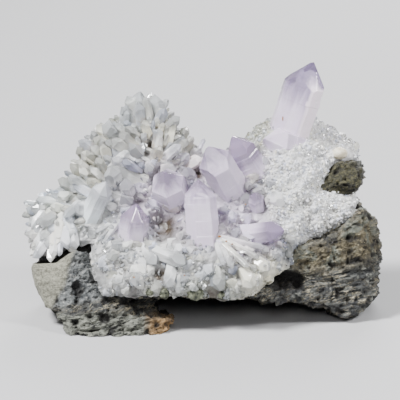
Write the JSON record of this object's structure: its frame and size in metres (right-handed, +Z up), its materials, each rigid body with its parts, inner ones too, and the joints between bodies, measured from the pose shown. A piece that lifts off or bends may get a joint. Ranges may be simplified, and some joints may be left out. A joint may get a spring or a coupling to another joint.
{
  "type": "amethyst specimen",
  "caption": "Cluster of pale lilac amethyst and white quartz crystals grown over a broken block of dark rock, one tall clear point at the right.",
  "frame": {"origin": "on the ground, under the middle of the specimen's box", "axes": "+Z up, +X to the right as seen from the crystal side, -Y towards the viewer of the crystals"},
  "size_m": [0.1014, 0.0579, 0.0676],
  "materials": {
    "matrix_rock": "rough broken rock, dark grey with ochre stains",
    "white_quartz": "sugary crust of small milky quartz crystals",
    "amethyst": "clear pale lilac crystal with glassy faces and a milky foot",
    "clear_quartz": "clear colourless crystal with glassy faces"
  },
  "bodies": {
    "root": {"matrix_rock": "matrix_rock", "quartz_crust": "white_quartz", "main_amethyst_point": "amethyst", "centre_amethyst_point": "amethyst", "leaning_amethyst_point": "amethyst", "round_amethyst_point": "amethyst", "tall_amethyst_point": "amethyst", "faceted_amethyst_point": "amethyst", "lying_amethyst_point": "amethyst", "small_amethyst_point": "amethyst", "clear_quartz_point": "clear_quartz"}
  },
  "joints": []
}
